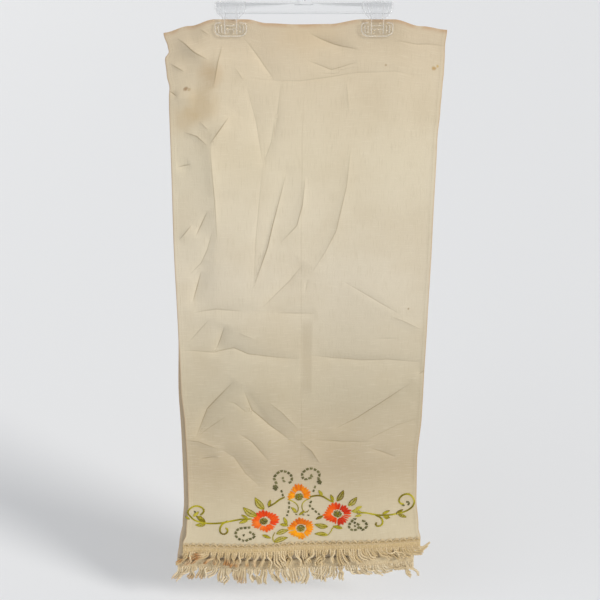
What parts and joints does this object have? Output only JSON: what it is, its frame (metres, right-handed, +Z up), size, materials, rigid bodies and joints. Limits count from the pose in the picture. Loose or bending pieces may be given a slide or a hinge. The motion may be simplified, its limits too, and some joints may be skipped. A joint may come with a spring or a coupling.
{
  "type": "embroidered table runner on a clear clip hanger",
  "caption": "Cream table runner with an embroidered flower spray and fringed ends, folded in half and gripped by the fold in the clips of a clear hanger with a wire hook.",
  "frame": {"origin": "inside of the hook's crown, where a rail touches it", "axes": "+Z up, +X along the hanger's bar to the right as seen from the embroidered side, +Y from the front layer to the back layer"},
  "size_m": [0.4245, 0.0323, 0.9961],
  "materials": {
    "cream_linen": "plain woven cream cloth, matt, lightly creased",
    "fringe_cotton": "twisted cotton fringe with a crocheted heading, matt",
    "embroidery_thread": "stranded embroidery thread with a soft sheen",
    "clear_plastic": "clear moulded plastic, glossy",
    "plated_steel": "bright plated wire"
  },
  "bodies": {
    "root": {"runner_cloth": "cream_linen", "fringe_front": "fringe_cotton", "fringe_back": "fringe_cotton", "clip_left": "clear_plastic", "clip_right": "clear_plastic", "hanger_bar": "clear_plastic", "hanger_hook": "plated_steel"}
  },
  "joints": []
}
